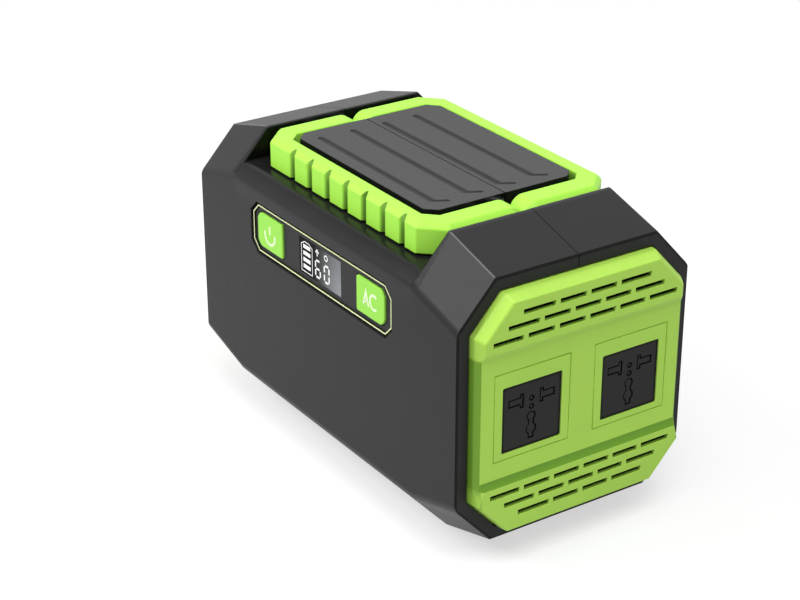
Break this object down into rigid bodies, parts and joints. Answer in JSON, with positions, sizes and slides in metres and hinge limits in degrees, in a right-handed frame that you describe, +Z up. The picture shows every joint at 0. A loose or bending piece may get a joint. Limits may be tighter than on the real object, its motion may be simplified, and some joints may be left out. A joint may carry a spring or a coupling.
{
  "type": "portable power station",
  "caption": "Portable power station: chamfered dark case, fold-flat green carry handles on top, front control panel with display and buttons, green end panels with vents and outlets.",
  "frame": {"origin": "on the ground under the middle of the case, at the bottom of the feet", "axes": "+X to the AC outlet end, -Y to the control panel, +Z up"},
  "size_m": [0.2796, 0.15, 0.1755],
  "materials": {
    "shell_plastic": "fine satin grain",
    "panel_green": "satin",
    "handle_green": "satin",
    "button_green": "satin",
    "pin_steel": "ground",
    "bezel_plastic": "gloss",
    "trim_pale": "gloss",
    "display_glass": "gloss",
    "module_plastic": "matte",
    "black_plastic": "matte",
    "board_green": "solder mask",
    "screw_steel": "zinc plated",
    "socket_black": "satin",
    "contact_brass": "stamped",
    "port_steel": "plated",
    "cell_sleeve": null,
    "strap_nickel": "nickel strip",
    "sink_aluminium": "extruded",
    "core_ferrite": "ferrite",
    "coil_copper": "enamelled wire",
    "capacitor_sleeve": "printed sleeve, left bare",
    "foot_rubber": "matte"
  },
  "bodies": {
    "case": {"front_shell": "shell_plastic", "back_shell": "shell_plastic", "socket_panel": "panel_green", "port_panel": "panel_green", "front_hinge_pins": "pin_steel", "back_hinge_pins": "pin_steel", "control_bezel": "bezel_plastic", "bezel_trim": "trim_pale", "display_lens": "display_glass", "display_module": "module_plastic", "control_switches": "black_plastic", "dc_jacks": "black_plastic", "charge_inlet": "black_plastic", "fan_frame": "black_plastic", "cell_holder_lower": "black_plastic", "cell_holder_upper": "black_plastic", "control_board": "board_green", "port_board": "board_green", "bms_board": "board_green", "inverter_board": "board_green", "board_screws": "screw_steel", "socket_screws": "screw_steel", "port_screws": "screw_steel", "fan_screws": "screw_steel", "bms_screws": "screw_steel", "case_screws": "screw_steel", "ac_socket_left": "socket_black", "ac_socket_right": "socket_black", "socket_contacts": "contact_brass", "usb_ports": "port_steel", "battery_cells": "cell_sleeve", "cell_straps": "strap_nickel", "heat_sink": "sink_aluminium", "transformer_core": "core_ferrite", "transformer_coil": "coil_copper", "capacitors": "capacitor_sleeve", "rubber_feet": "foot_rubber"},
    "front_handle_body": {"front_handle": "handle_green"},
    "back_handle_body": {"back_handle": "handle_green"},
    "power_button_body": {"power_button": "button_green"},
    "ac_button_body": {"ac_button": "button_green"},
    "fan_rotor_body": {"fan_rotor": "black_plastic"}
  },
  "joints": [
    {"name": "front_handle_fold", "type": "hinge", "parent": "case", "child": "front_handle_body", "pos_m": [0, -0.0087, 0.166], "axis": [-1, 0, 0], "range_deg": [0, 90]},
    {"name": "back_handle_fold", "type": "hinge", "parent": "case", "child": "back_handle_body", "pos_m": [0, 0.0087, 0.166], "axis": [1, 0, 0], "range_deg": [0, 90]},
    {"name": "power_press", "type": "slide", "parent": "case", "child": "power_button_body", "axis": [0, 1, 0], "range_m": [0, 0.001], "stiffness_N_per_m": 1500},
    {"name": "ac_press", "type": "slide", "parent": "case", "child": "ac_button_body", "axis": [0, 1, 0], "range_m": [0, 0.001], "stiffness_N_per_m": 1500},
    {"name": "fan_spin", "type": "hinge", "parent": "case", "child": "fan_rotor_body", "pos_m": [-0.1273, 0, 0.1264], "axis": [1, 0, 0], "continuous": true}
  ]
}
